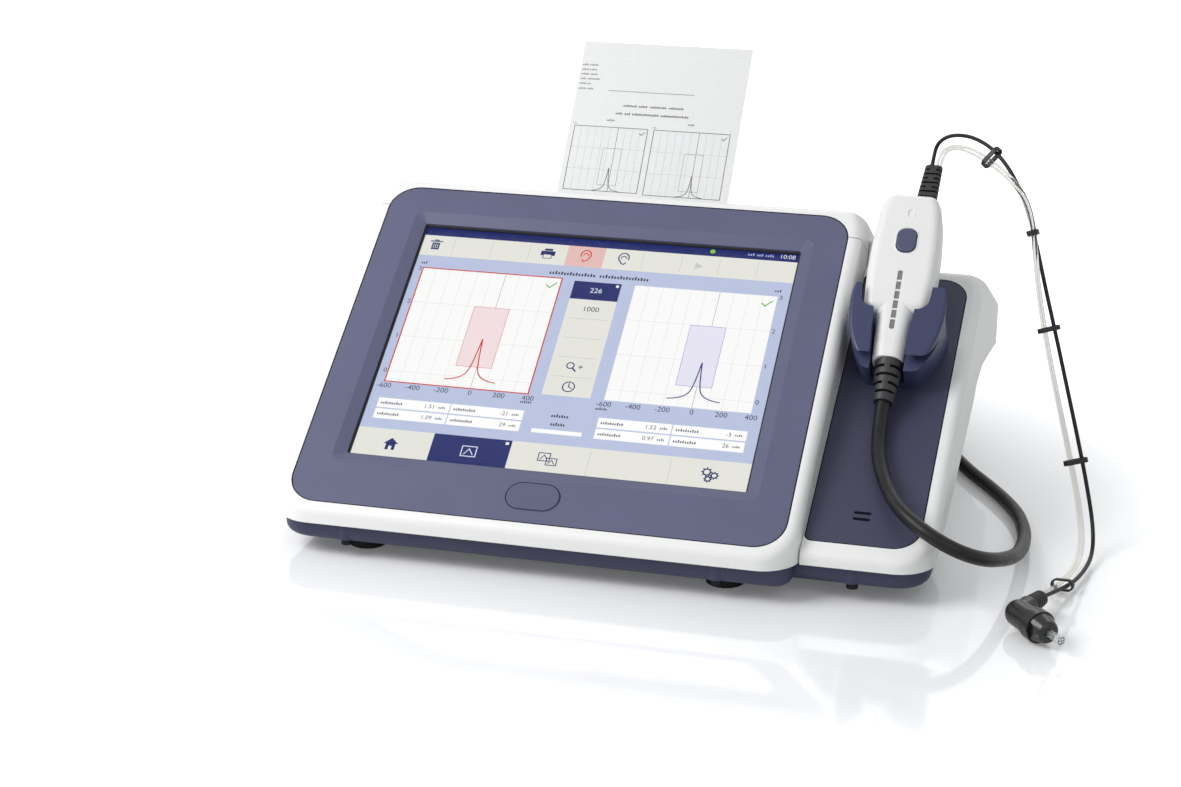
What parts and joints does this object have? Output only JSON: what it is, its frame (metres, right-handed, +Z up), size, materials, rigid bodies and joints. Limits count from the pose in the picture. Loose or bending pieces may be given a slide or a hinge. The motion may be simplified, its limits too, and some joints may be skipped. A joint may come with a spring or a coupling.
{
  "type": "tympanometer",
  "caption": "Desktop middle-ear analyser with a sloping touch screen, built-in strip printer and a cradled probe handle on a cable with a thin ear probe lead.",
  "frame": {"origin": "on the table, under the middle of the two housings", "axes": "+X to the right as seen from the front, +Y to the back, +Z up"},
  "size_m": [0.3336, 0.3561, 0.1812],
  "materials": {
    "white_shell": "satin",
    "slate_base": "satin",
    "bezel_grey": "satin",
    "navy_plastic": "satin",
    "dark_plate": "satin",
    "black_rubber": "matte",
    "cable_jacket": "satin",
    "screen_glass": "glossy",
    "lcd": "glossy",
    "steel": "brushed",
    "brass": "satin",
    "circuit_board": "satin",
    "black_plastic": "matte",
    "key_grey": "satin",
    "key_dark": "glossy",
    "clear_plastic": "glossy",
    "clear_hose": "satin",
    "paper": "matte",
    "white_gear": "satin",
    "probe_black": "glossy"
  },
  "bodies": {
    "console": {"base_tray": "slate_base", "feet": "black_rubber", "screws": "steel", "display_housing": "white_shell", "rear_cover": "white_shell", "lid_hinge_pin": "steel", "cradle_housing": "white_shell", "display_bezel": "bezel_grey", "screen_gasket": "black_rubber", "touch_glass": "screen_glass", "lcd_module": "lcd", "lcd_frame": "steel", "board_standoffs": "brass", "main_board": "circuit_board", "board_components": "black_plastic", "button_board": "circuit_board", "cradle_panel": "dark_plate", "speaker": "black_plastic", "cradle_holder": "navy_plastic", "pump": "black_plastic", "pump_motor": "steel", "air_valve": "black_plastic", "inner_air_hose": "clear_hose", "connector_plate": "black_plastic", "connector_board": "circuit_board", "power_jack": "black_plastic", "signal_ports": "black_plastic", "probe_socket": "black_plastic", "paper_bay": "black_plastic", "thermal_head": "steel", "tear_bar": "steel", "feed_motor": "steel", "paper_web": "paper", "main_cable": "cable_jacket", "main_cable_coil": "cable_jacket", "main_cable_tail": "cable_jacket", "cable_plug": "black_plastic"},
    "handle": {"handle_front": "white_shell", "handle_rear": "white_shell", "handle_screws": "steel", "handle_board": "circuit_board", "handle_lights": "clear_plastic", "lower_boot": "black_rubber", "upper_boot": "black_rubber", "probe_lead": "cable_jacket", "air_tubes": "clear_hose", "lead_clips": "black_rubber", "probe_boot": "black_rubber", "probe_body": "probe_black", "probe_tip": "clear_plastic"},
    "handle_key": {"handle_button": "key_dark"},
    "front_key": {"front_button": "key_grey"},
    "lid": {"printer_lid": "white_shell"},
    "strip": {"paper_strip": "paper"},
    "platen": {"platen_roller": "black_rubber", "platen_gear": "white_gear"},
    "pinion": {"feed_pinion": "white_gear"},
    "roll": {"paper_roll": "paper", "roll_spindle": "black_plastic"},
    "tip_cap": {"probe_cap": "probe_black"}
  },
  "joints": [
    {"name": "front_button_press", "type": "slide", "parent": "console", "child": "front_key", "axis": [0, 0.5534, -0.8329], "range_m": [0, 0.0008], "stiffness_N_per_m": 1500},
    {"name": "handle_lift", "type": "slide", "parent": "console", "child": "handle", "axis": [0, 0.7431, 0.6691], "range_m": [0, 0.035]},
    {"name": "handle_button_press", "type": "slide", "parent": "handle", "child": "handle_key", "axis": [0, 0.6691, -0.7431], "range_m": [0, 0.0008], "stiffness_N_per_m": 1500},
    {"name": "printer_lid_hinge", "type": "hinge", "parent": "console", "child": "lid", "pos_m": [-0.0185, 0.1168, 0.065], "axis": [-1, 0, 0], "range_deg": [0, 75]},
    {"name": "paper_feed", "type": "slide", "parent": "console", "child": "strip", "axis": [0, 0.6414, 0.7672], "range_m": [0, 0.01]},
    {"name": "platen_turn", "type": "hinge", "parent": "console", "child": "platen", "pos_m": [-0.0186, 0.03918, 0.10837], "axis": [-1, 0, 0], "range_deg": [0, 96]},
    {"name": "roll_turn", "type": "hinge", "parent": "console", "child": "roll", "pos_m": [-0.0186, 0.076, 0.066], "axis": [-1, 0, 0], "range_deg": [0, 24]},
    {"name": "pinion_turn", "type": "hinge", "parent": "console", "child": "pinion", "pos_m": [0.0266, 0.05096, 0.10157], "axis": [-1, 0, 0], "range_deg": [-137, 0]},
    {"name": "probe_cap_turn", "type": "hinge", "parent": "handle", "child": "tip_cap", "pos_m": [0.1726, -0.1116, 0.0069], "axis": [0.6481, -0.7615, 0], "range_deg": [0, 90]}
  ],
  "couplings": [
    {"joint": "platen_turn", "follows": "paper_feed", "rad_per_m": 166.67},
    {"joint": "roll_turn", "follows": "paper_feed", "rad_per_m": 41.667},
    {"joint": "pinion_turn", "follows": "paper_feed", "rad_per_m": -238.1}
  ]
}
